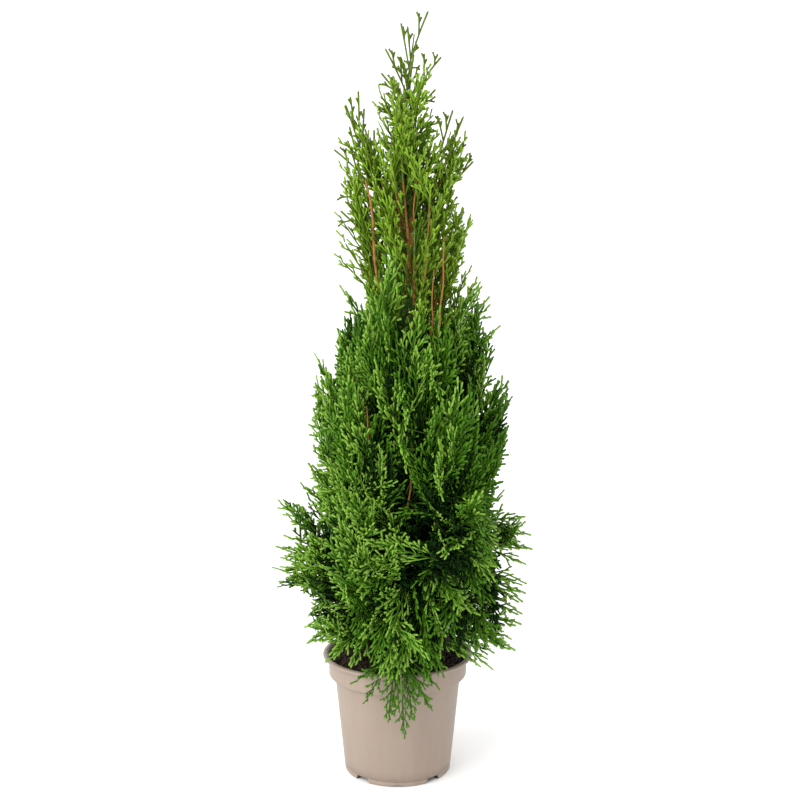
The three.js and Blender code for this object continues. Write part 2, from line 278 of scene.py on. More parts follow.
def scatter_crumbs(name, material, count, sizes, stretch, seed):
    """Loose lumps lying on the compost, joined into one piece."""
    rng = np.random.default_rng(seed)
    bm = bmesh.new()
    bmesh.ops.create_icosphere(bm, subdivisions=1, radius=1.0)
    shape = np.array([v.co[:] for v in bm.verts])
    faces = np.array([[v.index for v in f.verts] for f in bm.faces])
    bm.free()
    verts, tris = [], []
    for i in range(count):
        radius = (SOIL_RADIUS - 0.004) * math.sqrt(rng.uniform(0.03, 1.0))
        turn = rng.uniform(0, 2 * math.pi)
        x, y = radius * math.cos(turn), radius * math.sin(turn)
        size = rng.uniform(*sizes)
        lump = shape * rng.uniform(0.75, 1.25, shape.shape) * size
        lump[:, 0] *= stretch
        lump[:, 2] *= 0.6
        spin = rng.uniform(0, 2 * math.pi)
        c, s = math.cos(spin), math.sin(spin)
        lump = lump @ np.array([[c, s, 0], [-s, c, 0], [0, 0, 1]])
        verts.append(lump + (x, y, soil_height(x, y) + 0.25 * size))
        tris.append(faces + i * len(shape))
    mesh = triangle_mesh(name, np.concatenate(verts), np.concatenate(tris))
    place_piece(name, mesh, [material])


def triangle_mesh(name, verts, tris, kinds=None):
    """A mesh of triangles from arrays, smooth, with a material for each face."""
    mesh = bpy.data.meshes.new(name)
    mesh.vertices.add(len(verts))
    mesh.vertices.foreach_set("co", np.asarray(verts, np.float32).ravel())
    mesh.loops.add(len(tris) * 3)
    mesh.loops.foreach_set("vertex_index", np.asarray(tris, np.int32).ravel())
    mesh.polygons.add(len(tris))
    mesh.polygons.foreach_set("loop_start", np.arange(0, len(tris) * 3, 3, dtype=np.int32))
    mesh.polygons.foreach_set("use_smooth", np.ones(len(tris), bool))
    if kinds is not None:
        mesh.polygons.foreach_set("material_index", np.asarray(kinds, np.int32))
    mesh.update(calc_edges=True)
    mesh.validate()
    return mesh


scatter_crumbs("compost_crumbs", compost, 900, (0.0008, 0.0024), 1.2, 11)
scatter_crumbs("compost_bark_chips", bark_chip, 260, (0.0008, 0.0017), 3.2, 12)
scatter_crumbs("compost_perlite", perlite, 26, (0.0007, 0.0013), 1.1, 13)

# ---- Shape of the plant ----
# One leader with tiers of boughs round it. Each bough runs out along the axis
# of its own mass of foliage, so these lines carry the bark and the sprays.

TRUNK_LINE = [
    (6, 3, 138.3), (6, 3, 170), (10, 5, 300), (16, 3, 450),
    (12, -2, 600), (17, -3, 725), (10, -2, 825), (20, 0, 915),
]

# name, roots, feet, radius of the feet, tips, reaches, shift, girths,
# depth against width, arch, azimuths, radius of the limb; millimetres
TIERS = [
    ("crest", [640, 668, 610, 655], [704, 700, 672, 668], 20, [822, 843, 826, 818],
     [74, 65, 50, 46], 6, [27, 24, 36, 34], 0.62, -2, [4, 178, 262, 84], 2.4),
    ("spire", [500, 525, 480, 510], [550, 576, 540, 548], 26, [768, 788, 768, 752],
     [84, 68, 70, 74], 4, [42, 36, 50, 50], 0.58, 3, [8, 176, 284, 70], 3.0),
    ("shoulder", [376, 391, 356, 401], [416, 430, 404, 418], 30, [592, 606, 648, 640],
     [84, 78, 84, 86], 16, [60, 56, 68, 68], 0.6, -5, [4, 184, 254, 98], 3.6),
    ("middle", [276, 296, 266, 286, 281], [306, 320, 298, 308, 304], 36,
     [494, 520, 506, 524, 498], [119, 104, 114, 118, 118], 12, [64, 60, 66, 68, 66],
     0.62, -7, [354, 174, 232, 64, 300], 4.2),
    ("lower", [198, 212, 186, 206, 194, 218], [222, 236, 214, 222, 216, 228], 42,
     [314, 342, 378, 390, 372, 380], [150, 150, 138, 140, 140, 138], 9,
     [58, 58, 64, 64, 64, 62], 0.72, 2, [1, 181, 244, 56, 306, 122], 4.6),
    ("skirt", [152, 166, 150, 162], [186, 188, 178, 182], 32, [214, 258, 186, 208],
     [154, 151, 130, 138], 3, [62, 60, 72, 68], 0.76, 4, [350, 186, 268, 92], 4.2),
]


def unit(v):
    """Vectors of length one along these."""
    return v / np.maximum(np.linalg.norm(v, axis=-1, keepdims=True), 1e-9)


def points_at(wanted, places, line):
    """The points of a line at these places, from the places of its own points."""
    return np.stack([np.interp(wanted, places, values) for values in line.T], -1)


def even_steps(points, count):
    """The same line with its points spaced evenly along it."""
    lengths = np.r_[0, np.cumsum(np.linalg.norm(np.diff(points, axis=0), axis=1))]
    return points_at(np.linspace(0, lengths[-1], count), lengths, points)


def smooth_line(points, count):
    """A centripetal spline through the points."""
    p = [np.array(q, float) for q in points]
    p = [2 * p[0] - p[1]] + p + [2 * p[-1] - p[-2]]
    out = []
    for a, b, c, d in zip(p, p[1:], p[2:], p[3:]):
        ab, bc, cd = (max(np.linalg.norm(v - u), 1e-4) ** 0.5 for u, v in ((a, b), (b, c), (c, d)))
        m = ((b - a) / ab - (c - a) / (ab + bc) + (c - b) / bc) * bc
        n = ((c - b) / bc - (d - b) / (bc + cd) + (d - c) / cd) * bc
        t = np.linspace(0, 1, 40)[:, None]
        out.append(b + m * t + (3 * c - 3 * b - 2 * m - n) * t**2 + (2 * b - 2 * c + m + n) * t**3)
    return even_steps(np.concatenate(out), count)


def bend_line(foot, bend, tip, count):
    """A quadratic curve from the foot to the tip."""
    t = np.linspace(0, 1, 200)[:, None]
    return even_steps(foot * (1 - t) ** 2 + bend * 2 * t * (1 - t) + tip * t**2, count)


trunk_line = smooth_line(TRUNK_LINE, 400) / 1000


def trunk_at(height):
    """The point of the trunk's axis at a height in millimetres."""
    return points_at(height / 1000, trunk_line[:, 2], trunk_line)


def tier_mass(tier, i):
    """The axis and the girth of one mass of a tier, and where its bough leaves."""
    name, root, foot, foot_radius, tip, reach, shift, girth, flat, arch, azimuth, limb = tier
    turn = math.radians(azimuth[i])
    outward = np.array([math.cos(turn), math.sin(turn), 0])
    start = trunk_at(foot[i]) + outward * foot_radius / 1000
    end = outward * reach[i] / 1000 + np.array([shift, 0, tip[i]]) / 1000
    bend = (start + end) / 2 + np.array([0, 0, arch]) / 1000 - outward * arch * 0.8 / 1000
    return {
        "name": f"{name}_{i + 1}", "tier": name, "axis": bend_line(start, bend, end, 61),
        "across": np.array([-outward[1], outward[0], 0]), "outward": outward,
        "root": trunk_at(root[i]), "girth": girth[i] / 1000, "flat": flat,
        "limb": limb / 1000, "phase": 1.7 * i + root[i] * 0.11,
    }


def lone_mass(name, foot, bend, tip, girth, flat, root=None, limb=0.0):
    """A mass that belongs to no tier, like those of `tier_mass`."""
    foot, bend, tip = (np.array(p) / 1000 for p in (foot, bend, tip))
    return {
        "name": name, "tier": name, "axis": bend_line(foot, bend, tip, 61),
        "across": np.array([1.0, 0, 0]), "outward": np.array([0, -1.0, 0]),
        "root": trunk_at(root) if root else None, "girth": girth / 1000, "flat": flat,
        "limb": limb / 1000, "phase": girth,
    }


masses = [tier_mass(tier, i) for tier in TIERS for i in range(len(tier[1]))]
top_mass = lone_mass("top", (10, -2, 792), (8, -2, 880), (29, 0, 944), 27, 0.9)
hanging_mass = lone_mass("hanging", (2, -64, 172), (4, -128, 188), (6, -112, 84), 24, 0.55, 150, 2)
masses += [top_mass, hanging_mass]

# ---- Trunk and boughs ----
# Live stems under thin fibrous bark. It shreds lengthwise in strips: dull
# brown on the old wood, and smooth orange-brown on the last year's growth.


def grow_limb(bm, line, radii, sides, ridge):
    """Adds a closed limb to bm: rings extruded along a line, ridged lengthwise."""
    headings = unit(np.gradient(line, axis=0))
    side = unit(np.cross(headings[0], (0.3, 0.9, 0.1)))
    ring = bmesh.ops.create_circle(bm, cap_ends=True, segments=sides, radius=1.0)["verts"]
    cap = list(ring[0].link_faces)
    spot = 0.0
    for i, (centre, heading) in enumerate(zip(line, headings)):
        side = unit(side - heading * side.dot(heading))
        up = np.cross(heading, side)
        if i:
            spot += float(np.linalg.norm(line[i] - line[i - 1]))
            grown = bmesh.ops.extrude_face_region(bm, geom=cap)
            cap = [g for g in grown["geom"] if isinstance(g, bmesh.types.BMFace)]
            ring = list(cap[0].verts)
        for k, vert in enumerate(ring):
            turn = 2 * math.pi * k / sides
            spoke = side * math.cos(turn) + up * math.sin(turn)
            strip = Vector((math.cos(turn) * 2.2, math.sin(turn) * 2.2, spot * 38))
            lift = ridge * (noise.noise(strip) + 0.5 * noise.noise(strip * 2.7))
            radius = radii(i, turn) if callable(radii) else radii[i]
            vert.co = Vector(centre + spoke * radius * (1 + lift))
    bmesh.ops.recalc_face_normals(bm, faces=bm.faces)


def trunk_radius(i, turn):
    """The leader tapers, and flares into its roots at the foot."""
    t = i / (len(trunk_rings) - 1)
    height = trunk_rings[i][2] - trunk_rings[0][2]
    taper = (8.2 + (1.1 - 8.2) * t**0.85) / 1000 * (1 - 0.3 * max(0.0, t - 0.8) / 0.2)
    buttress = 1 + 0.3 * math.sin(4 * turn + 0.7) + 0.15 * math.sin(3 * turn)
    return taper + 0.0055 * math.exp(-height / 0.013) * buttress


trunk_rings = np.concatenate([trunk_line[:24:2], trunk_line[24:-1:3], trunk_line[-1:]])
trunk_bm = bmesh.new()
grow_limb(trunk_bm, trunk_rings, trunk_radius, 22, 0.16)

# Fibrous conifer bark: thin strips that lift at their edges, grey-brown over
# red-brown, dull, with the grain running up the stem.
old_bark, tree, shader, place = new_material("fibrous_conifer_bark")
drawn = add(tree, "ShaderNodeMapping", Vector=place, Scale=(1, 1, 0.12)).outputs[0]
strips = cloudy(tree, drawn, 700.0, 4.0, 0.6)  # 1.4 mm strips
weather = cloudy(tree, place, 60.0, 2.0)
brown = two_tone(tree, strips, "#2d1c0c", "#6e482a")
grey = add(tree, "ShaderNodeMapRange", Value=weather, From_Min=0.45, From_Max=0.7, To_Max=0.3)
bark_tone = two_tone(tree, grey.outputs[0], brown, "#625242")
feed(tree, shader, Base_Color=bark_tone, Roughness=0.85, Normal=relief(tree, strips, 0.6, 0.0006))

# Young conifer bark: still thin and tight, warm orange-brown, slightly waxy.
young_bark, tree, shader, place = new_material("young_orange_bark")
drawn = add(tree, "ShaderNodeMapping", Vector=place, Scale=(1, 1, 0.15)).outputs[0]
strips = cloudy(tree, drawn, 900.0, 3.0)
warm = two_tone(tree, strips, "#5c3a18", "#ad793b")
feed(
    tree, shader, Base_Color=warm, Roughness=0.62, Specular_IOR_Level=0.2,
    Normal=relief(tree, strips, 0.4, 0.0004),
)

# The leader's last growth has no bark yet: smooth green skin.
green_wood = mottled("green_leader_skin", (220.0, 2.0), "#375811", "#5a7220", 0.5)

for face in trunk_bm.faces:
    height = face.calc_center_median().z
    face.material_index = 2 if height > 0.842 else 1 if height > 0.60 else 0
add_piece("trunk_bark", trunk_bm, [old_bark, young_bark, green_wood], ["trunk"])


def bough_line(mass):
    """From the trunk's axis through the mass's foot and on along its axis."""
    axis = mass["axis"]
    ends = (34, 46) if mass["tier"] in ("shoulder", "middle") else (28, 38)
    knots = [mass["root"], axis[0], axis[10], axis[20], *(axis[k] for k in ends)]
    return smooth_line(knots, 60)


for mass in masses:
    if mass["root"] is None:
        continue
    mass["bough"] = bough_line(mass)
    count = len(mass["bough"])
    taper = [0.0008 + (mass["limb"] - 0.0008) * (1 - i / (count - 1)) ** 1.1 for i in range(count)]
    mass["taper"] = np.array(taper)
    bough_bm = bmesh.new()
    grow_limb(bough_bm, mass["bough"], taper, 10, 0.14)
    young = mass["tier"] in ("crest", "spire")
    for face in bough_bm.faces:
        place = np.linalg.norm(mass["bough"] - np.array(face.calc_center_median()), axis=1).argmin()
        face.material_index = 1 if place > (0.8 if young else 0.62) * count else 0
    skin = {"crest": young_bark, "spire": young_bark, "hanging": green_wood}.get(mass["tier"], old_bark)
    add_piece(
        f"bough_bark_{mass['name']}", bough_bm, [skin, green_wood],
        [f"bough_{mass['name']}"],
    )

# Last year's stems, bare of leaves where they rise through the front and the
# back of the crown: the points they pass and the radius of their foot, in mm.
YOUNG_STEMS = [
    ([(4, -2, 560), (-17, -28, 600), (-25, -44, 630), (-28, -46, 660), (-29, -48, 690), (-32, -40, 714),
      (-38, -28, 740)], 2.0),
    ([(14, -6, 500), (38, -50, 540), (49, -66, 566), (50, -70, 590), (54, -62, 620), (54, -50, 646),
      (56, -34, 674)], 1.5),
    ([(14, -4, 560), (26, -36, 598), (33, -50, 630), (34, -46, 660), (37, -46, 690), (38, -34, 724)], 1.3),
    ([(13, -3, 640), (17, -30, 660), (20, -42, 684), (19, -44, 704), (23, -34, 740)], 1.2),
    ([(14, -6, 500), (32, -54, 544), (41, -76, 570), (40, -78, 596), (43, -60, 634)], 1.2),
    ([(13, -2, 676), (2, -24, 702), (-2, -36, 726), (-6, -32, 756), (-7, -22, 786)], 1.1),
    ([(6, -4, 290), (10, -50, 334), (13, -82, 362), (16, -84, 384), (13, -66, 408), (12, -48, 440)], 1.5),
    ([(2, -3, 350), (-20, -50, 390), (-33, -88, 420), (-34, -94, 442), (-36, -78, 474)], 1.5),
    ([(4, 2, 560), (-12, 32, 606), (-18, 46, 640), (-20, 46, 680), (-30, 34, 730)], 1.6),
    ([(14, 6, 520), (32, 46, 562), (41, 62, 592), (43, 56, 640), (47, 40, 690)], 1.4),
    ([(13, 3, 640), (14, 30, 664), (11, 42, 696), (10, 32, 740)], 1.1),
]
STEM_RINGS = 26
stem_bm = bmesh.new()
for knots, foot in YOUNG_STEMS:
    line = smooth_line([np.array(knot) / 1000 for knot in knots], STEM_RINGS)
    grow_limb(stem_bm, line, np.linspace(foot, 0.55 * foot, STEM_RINGS) / 1000, 7, 0.14)
add_piece(
    "young_stems", stem_bm, [young_bark],
    [f"foliage_{m['name']}" for m in masses if m["tier"] in ("spire", "shoulder")],
)

# ---- Side twigs ----
# Short woody twigs that carry the fronds out from the limbs to the daylight.

# height of the crown's full core, its radius there and its shift to the
# right of the trunk, millimetres
CORE = [
    (145, 84, 0), (200, 96, 0), (290, 104, -2), (360, 110, -4), (450, 95, 0), (520, 82, 0), (585, 72, 4),
    (640, 64, 8), (700, 58, -1), (760, 54, 0), (800, 42, 0), (830, 22, 0), (860, 10, 0),
]


def plume_limit(mass, t, turn):
    """Radius of a mass at t along its axis and at an angle round it."""
    body = np.maximum(t, 0.02) ** 0.5 * np.maximum(1 - t, 0.001) ** 0.7 / 0.457
    lobes = 0.13 * np.sin(3 * turn + mass["phase"] + 4 * t)
    ripple = 0.1 * np.sin(5 * turn - 2 * mass["phase"] + 9 * t)
    knots = 0.07 * np.sin(14 * t + mass["phase"])
    flat = 1 / np.hypot(np.cos(turn), np.sin(turn) / mass["flat"])
    return mass["girth"] * body * flat * (1 + lobes + ripple + knots) - mass["trim"]


def inside(mass, points):
    """Whether points lie inside a mass's uneven plume."""
    axis, headings = mass["axis"], mass["headings"]
    k = ((points[:, None] - axis[None]) ** 2).sum(2).argmin(axis=1)
    heading = headings[k]
    first = unit(mass["across"] - heading * (heading @ mass["across"])[:, None])
    second = np.cross(heading, first)
    offset = points - axis[k]
    u, v = (offset * first).sum(1), (offset * second).sum(1)
    limit = plume_limit(mass, k / (len(axis) - 1), np.arctan2(v, u))
    past = (offset * heading).sum(1) * (k == len(axis) - 1)
    before = -(offset * heading).sum(1) * (k == 0)
    return (np.hypot(u, v) < limit + 0.002) & (past < 0.002) & (before < 0.004)


for mass in masses:
    mass["headings"] = unit(np.gradient(mass["axis"], axis=0))
    mass["low"] = mass["axis"].min(0) - mass["girth"] * 1.3
    mass["high"] = mass["axis"].max(0) + mass["girth"] * 1.3
    mass["trim"] = 0.0045 if mass["tier"] in ("middle", "shoulder", "spire", "crest") else 0.0


def inside_crown(points):
    """Whether points lie in any of the masses or in the core round the trunk."""
    heights, radii, shifts = np.array(CORE).T / 1000
    middle = points_at(points[:, 2], trunk_line[:, 2], trunk_line[:, :2])
    middle[:, 0] += np.interp(points[:, 2], heights, shifts)
    held = np.hypot(*(points[:, :2] - middle).T) < np.interp(points[:, 2], heights, radii, left=0, right=0)
    for mass in masses:
        near = ~held & ((points > mass["low"]) & (points < mass["high"])).all(axis=1)
        if near.any():
            held[near] = inside(mass, points[near])
    return held


REACH_STEPS = np.arange(0.012, 0.134, 0.004)


def daylight(origins, aims):
    """How far each shoot can run before it leaves the crown."""
    spots = origins[:, None] + aims[:, None] * REACH_STEPS[None, :, None]
    held = inside_crown(spots.reshape(-1, 3)).reshape(len(origins), -1)
    held[:, 0] = True
    out = np.argmin(np.c_[held, np.zeros(len(held), bool)], axis=1)
    return REACH_STEPS[out - 1]


def stems(paths, radii, flat, normals):
    """Closed three-sided stems with a blunt point, one for each path.

    paths: (K, P, 3) points, radii: (K, P - 1), normals: (K, 3)
    """
    count, points = paths.shape[:2]
    headings = unit(np.gradient(paths, axis=1))
    normal = np.repeat(normals[:, None, :], points, axis=1)
    normal = unit(normal - headings * (normal * headings).sum(-1, keepdims=True))
    side = np.cross(headings, normal)
    turns = np.array([math.pi / 2, math.pi * 7 / 6, math.pi * 11 / 6])
    spokes = (
        side[:, :-1, None, :] * np.cos(turns)[None, None, :, None]
        + normal[:, :-1, None, :] * (np.sin(turns) * flat)[None, None, :, None]
    )
    rings = paths[:, :-1, None, :] + spokes * radii[:, :, None, None]
    verts = np.concatenate([rings.reshape(count, -1, 3), paths[:, -1:, :]], axis=1)
    faces = [(0, 2, 1)]
    for r in range(points - 2):
        a = r * 3
        for k in range(3):
            n = (k + 1) % 3
            faces += [(a + k, a + n, a + 3 + n), (a + k, a + 3 + n, a + 3 + k)]
    last = (points - 2) * 3
    tip = (points - 1) * 3
    faces += [(last + k, last + (k + 1) % 3, tip) for k in range(3)]
    faces = np.array(faces)
    all_faces = faces[None] + (np.arange(count) * verts.shape[1])[:, None, None]
    return verts.reshape(-1, 3), all_faces.reshape(-1, 3), len(faces)


# tier: shoots tried, habit, spread of their directions round the crown, lengths
HABITS = {
    "crest": (44, "open", 75, (0.064, 0.100)),
    "spire": (90, "open", 75, (0.062, 0.100)),
    "shoulder": (150, "full", 75, (0.058, 0.090)),
    "middle": (170, "full", 75, (0.060, 0.094)),
    "lower": (200, "fan", 70, (0.046, 0.066)),
    "skirt": (200, "fan", 75, (0.044, 0.064)),
}
# height in millimetres, the least and most a frond climbs there for each
# length it runs, and the most it runs straight out of the crown
CLIMB = [
    (150, -1.1, -0.5, 0.70), (220, -0.8, 0.0, 0.75), (290, -0.4, 0.5, 0.75), (350, 0.0, 0.9, 0.70),
    (430, 0.5, 1.1, 0.65), (520, 0.9, 1.5, 0.55), (640, 1.2, 2.0, 0.50), (940, 1.5, 2.4, 0.50),
]
UP = np.array([0, 0, 1.0])
GOLDEN_TURN = 2.39996  # radians between one shoot of the leader and the next


def climb_at(heights):
    """The least and the most climb, and the most straight run, at these heights."""
    return [np.interp(heights * 1000, *np.array(CLIMB)[:, [0, k]].T) for k in (1, 2, 3)]


def try_shoots(rng, line, limb, azimuth, habit, inner):
    """Shoots that one limb could bear, each a dict with its limb and frond."""
    count, kind, spread, lengths = habit
    # they stand closest on the inner half of the limb
    along = np.linspace(0, 1, 200)
    crowding = np.cumsum(0.3 + 0.7 * np.clip(1.45 - 1.6 * along, 0, 0.6) / 0.6)
    t = np.interp((np.arange(count) + rng.uniform(-0.4, 0.4, count)) / count, crowding / crowding[-1], along)
    roots = line[np.clip((t * (len(line) - 1)).astype(int), 0, len(line) - 1)]
    if azimuth is None:
        turn = np.arange(count) * GOLDEN_TURN + rng.normal(0, 0.25, count)
    else:
        turn = azimuth + np.radians(spread) * (2 * ((np.arange(count) * 0.618034) % 1.0) - 1) * 1.25
    low, high, _ = climb_at(roots[:, 2])
    rise = np.clip((low + high) * 0.35 + rng.normal(0, 0.25, count), -0.7, 1.2)
    out = unit(np.stack([np.cos(turn), np.sin(turn), rise], 1))
    # the share of the way out to the daylight at which they end
    share = rng.uniform(0.40, 0.70, count) if inner else 1 - 0.20 * rng.uniform(0, 1, count) ** 1.6
    reach = daylight(roots, out) * share
    # painted shade: fronds that end deeper in the crown get a lower light, so darker greens
    light = 0.22 * share if inner else np.clip((share - 0.80) * 4.2, 0, 0.84) + rng.uniform(0, 0.22, count)
    tips = roots + out * reach[:, None]
    low, high, straight = climb_at(tips[:, 2])
    level = np.stack([-np.sin(turn), np.cos(turn), 0 * turn], 1)
    flat_out = out * (1, 1, 0)
    climb = rng.uniform(low, high) - 0.5 * np.clip(tips[:, 0] / 0.08, -1, 1) * (tips[:, 2] < 0.37)
    onward = flat_out * rng.uniform(0.3, straight)[:, None]
    aims = unit(onward + level * rng.normal(0, 0.24, (count, 1)) + UP * climb[:, None])
    return [
        {
            "limb": limb, "tip": tips[n], "aim": aims[n], "length": rng.uniform(*lengths),
            "kind": "inner" if inner and kind != "open" else kind, "out": out[n],
            "light": light[n], "seed": int(rng.integers(1 << 30)),
        }
        for n in range(count)
    ]


def spaced(candidates, gap, taken=()):
    """Keeps the shoots whose tips have light of their own, `gap` from the others."""
    kept, tips = [], [s["tip"] for s in taken]
    for shoot in candidates:
        need = gap * {"open": 1.15, "fan": 1.05}.get(shoot["kind"], 1.0)
        need *= 0.82 if shoot["light"] < 0.4 else 1.0
        if not tips or ((np.array(tips) - shoot["tip"]) ** 2).sum(1).min() > need**2:
            kept.append(shoot)
            tips.append(shoot["tip"])
    return kept


# habit, and the feet and tips of fronds that stand by themselves: over the rim,
# out of the crown's sides, and drooping in two chains down the front; mm
LONE_FRONDS = [
    ("lace", [(3, -93, 179, 7, -114, 92), (8, -91, 177, 38, -107, 122), (-3, -91, 177, -37, -104, 130),
        (6, -95, 179, 22, -114, 112), (0, -93, 178, -15, -112, 108), (12, -90, 174, 45, -101, 146),
        (-8, -90, 174, -47, -99, 148), (2, -96, 180, 30, -110, 134)]),
    ("full", [(70, -30, 200, 135, -40, 174), (56, -46, 194, 109, -60, 161),
        (76, -10, 206, 142, -6, 188), (50, -58, 190, 92, -74, 163), (-50, -30, 206, -101, -42, 179),
        (-46, -46, 196, -80, -60, 168), (-52, -8, 208, -106, 0, 186), (86, -8, 258, 147, -12, 236),
        (94, 0, 226, 148, -4, 207), (-66, -10, 318, -112, -12, 364), (72, -18, 198, 126, -24, 170),
        (78, 6, 196, 136, 4, 174), (62, -26, 188, 110, -36, 162), (-56, -4, 244, -100, -8, 214),
        (-60, 4, 230, -105, 4, 200), (-58, -24, 334, -104, -28, 388), (72, -16, 312, 126, -18, 352)]),
    ("open", [(-26, 0, 636, -70, -2, 690), (-24, -6, 610, -69, -8, 664), (-22, 4, 596, -67, 6, 647)]),
    ("full", [(-34, -10, 560, -62, -12, 604)]),
    ("open", [(60, 4, 566, 86, 4, 630), (66, -8, 552, 92, -8, 616)]),
    ("full", [(70, -6, 540, 109, -8, 590), (62, 10, 552, 100, 14, 604), (58, -16, 556, 92, -20, 608),
        (74, 2, 514, 114, 0, 558), (-88, -4, 272, -141, -6, 284), (-84, 2, 262, -138, 4, 270),
        (-80, -12, 280, -128, -16, 300), (98, 0, 304, 156, -4, 289), (90, 2, 318, 147, -4, 329),
        (92, -10, 296, 150, -16, 278), (100, 8, 316, 157, 8, 305)]),
    ("fan", [(-36, -44, 204, -66, -62, 164), (-26, -50, 200, -48, -74, 162)]),
    ("full", [(-44, -30, 208, -76, -46, 166)]),
    ("fan", [(-16, -52, 200, -34, -80, 164)]),
    ("full", [(-92, 0, 256, -144, -2, 262)]),
    ("fan", [(40, -30, 244, 88, -44, 220)]),
    ("full", [(46, 0, 232, 94, 2, 213), (-86, -8, 250, -136, -8, 243), (96, 4, 250, 150, 2, 222),
        (92, -4, 262, 152, -4, 244), (44, -40, 248, 92, -60, 224), (54, -24, 252, 108, -34, 230),
        (60, 10, 250, 112, 14, 228)]),
    ("spray", [(7, -92, 510, 3, -106, 482), (8, -94, 488, 12, -110, 460), (7, -96, 462, 2, -112, 434),
        (8, -98, 438, 11, -115, 410), (44, -80, 532, 41, -95, 504), (46, -82, 508, 51, -98, 480),
        (46, -85, 482, 42, -102, 452), (48, -86, 456, 53, -103, 428), (47, -88, 430, 44, -106, 402),
        (48, -90, 404, 52, -108, 376)]),
]
# air that the fronds leave free, millimetres: x from, to, z from, to, and the
# y behind which it ends. Each slopes down to the front, with the boughs above
# it, and flares out there. Those that end at -3 keep the front of the bare
# young stems and of the leader clear.
OPENINGS = [
    (-170, -112, 186, 234, 999), (80, 106, 199, 207, 999), (122, 190, 190, 200, 999),
    (-170, -120, 293, 311, 999), (132, 190, 257, 286, 999),
    (7, 22, 592, 728, -3), (-42, -25, 612, 676, -3), (44, 60, 566, 636, -3),
    (-62, -32, 122, 152, -3), (58, 82, 122, 150, -3),
    (76, 104, 702, 730, 999), (-94, -63, 566, 606, 999),
    (-62, -45, 596, 640, 999), (94, 120, 600, 632, 999),
]
OPENING_SLOPE = 0.31
OPENING_FLARE = 0.7
# height and x of the furrow down the front, where the foliage stands back and takes the shaded greens as
# painted shade
FURROW = [(150, 22), (190, 18), (250, 17), (310, 25), (400, 27), (470, 26), (560, 34), (600, 34)]
FURROW_HALF_WIDTH = 0.0075
FURROW_DEPTH = 0.026
FURROW_SIDES = (0.009, 0.048)
FRONT = -0.03
OUTER_GAP = 0.0168
INNER_GAP = 0.021
limbs = np.concatenate([trunk_line] + [mass["bough"] for mass in masses if mass["root"] is not None])
placed = []
for kind, ends in LONE_FRONDS:
    for ends_of_one in np.array(ends) / 1000:
        foot, tip = ends_of_one[:3], ends_of_one[3:]
        # painted light and shade: the lace over the rim takes the half-shaded greens, the other lone fronds
        # the sunlit ones
        placed.append({
            "limb": limbs, "tip": tip, "aim": unit(tip - foot), "length": float(np.linalg.norm(tip - foot)),
            "kind": kind, "out": np.array([0, -1.0, 0.3]), "light": 0.4 if kind == "lace" else 0.7,
            "fixed": True, "seed": int(1e4 * np.abs(foot + 2 * tip).sum()),
        })
tried, tried_inner = [], []
for number, mass in enumerate(masses):
    if mass["tier"] in HABITS:
        habit = HABITS[mass["tier"]]
        azimuth = math.atan2(mass["outward"][1], mass["outward"][0])
        # painted light: the tip frond of each mass takes the sunlit greens
        placed.append({
            "limb": mass["bough"], "tip": mass["axis"][-1], "aim": mass["headings"][-1],
            "length": habit[3][1] * 0.8, "kind": habit[1], "out": mass["outward"], "light": 0.8,
            "seed": number,
        })
        limb = (mass["axis"], mass["bough"], azimuth, habit)
        tried += try_shoots(np.random.default_rng(500 + number), *limb, False)
        tried_inner += try_shoots(np.random.default_rng(700 + number), *limb, True)
for low, high, habit in (
    (0.165, 0.33, (360, "fan", 180, (0.046, 0.066))), (0.33, 0.56, (440, "full", 180, (0.058, 0.092))),
    (0.56, 0.84, (260, "open", 180, (0.060, 0.098))),
):
    part = (trunk_line[:, 2] > low) & (trunk_line[:, 2] < high)
    limb = (trunk_line[part], trunk_line, None, habit)
    tried += try_shoots(np.random.default_rng(900), *limb, False)
    tried_inner += try_shoots(np.random.default_rng(901), *limb, True)
np.random.default_rng(31).shuffle(tried)
np.random.default_rng(32).shuffle(tried_inner)
outer = spaced(tried, OUTER_GAP, placed)
inner = spaced(tried_inner, INNER_GAP)
for shoot in outer:
    x, y, z = shoot["tip"]
    height = (z + OPENING_SLOPE * y) * 1000
    beside = x * (1 - OPENING_FLARE * y) - np.interp(height, *np.array(FURROW).T) / 1000
    # fronds in the furrow stand back and get the shaded greens: painted shade
    if y < FRONT and z < 0.58 and abs(beside) < FURROW_HALF_WIDTH:
        shoot["tip"] = shoot["tip"] - shoot["out"] * FURROW_DEPTH
        shoot["light"] = 0.12
    shoot["on_edge"] = y < FRONT and FURROW_SIDES[0] < beside < FURROW_SIDES[1]
    # painted shade: fronds on the right of the body, away from the lamp, get darker greens
    if z < 0.60:  # the body's right side is a deeper green
        shoot["light"] -= 0.42 * np.clip((x - 0.03) / 0.06, 0, 1)
# painted shade: the inner fronds take the darkest greens, but those that show from outside are green like the
# half-shaded outer ones
spots = np.array([s["tip"] + unit(s["out"] * (1, 1, 0)) * 0.024 for s in inner])
for shoot, deep in zip(inner, inside_crown(spots)):
    if not deep:
        shoot["light"] = 0.3
shoots = placed + outer + inner
for shoot in shoots:
    shoot["start"] = shoot["tip"] - shoot["aim"] * shoot["length"]
# a frond whose foot would hang in the open leans further out from its limb
for _ in range(4):
    loose = [s for s in shoots if "fixed" not in s]
    for shoot, held in zip(loose, inside_crown(np.array([s["start"] for s in loose]))):
        if not held or shoot["kind"] == "open":
            shoot["aim"] = unit(shoot["aim"] + shoot["out"] * (0.16 if held else 0.4))
            shoot["start"] = shoot["tip"] - shoot["aim"] * shoot["length"]

# ---- Fronds ----
# Each is one flat spray: a rib with alternate branchlets in one plane, and
# each of them with a few short blunt twigs under overlapping scale leaves.

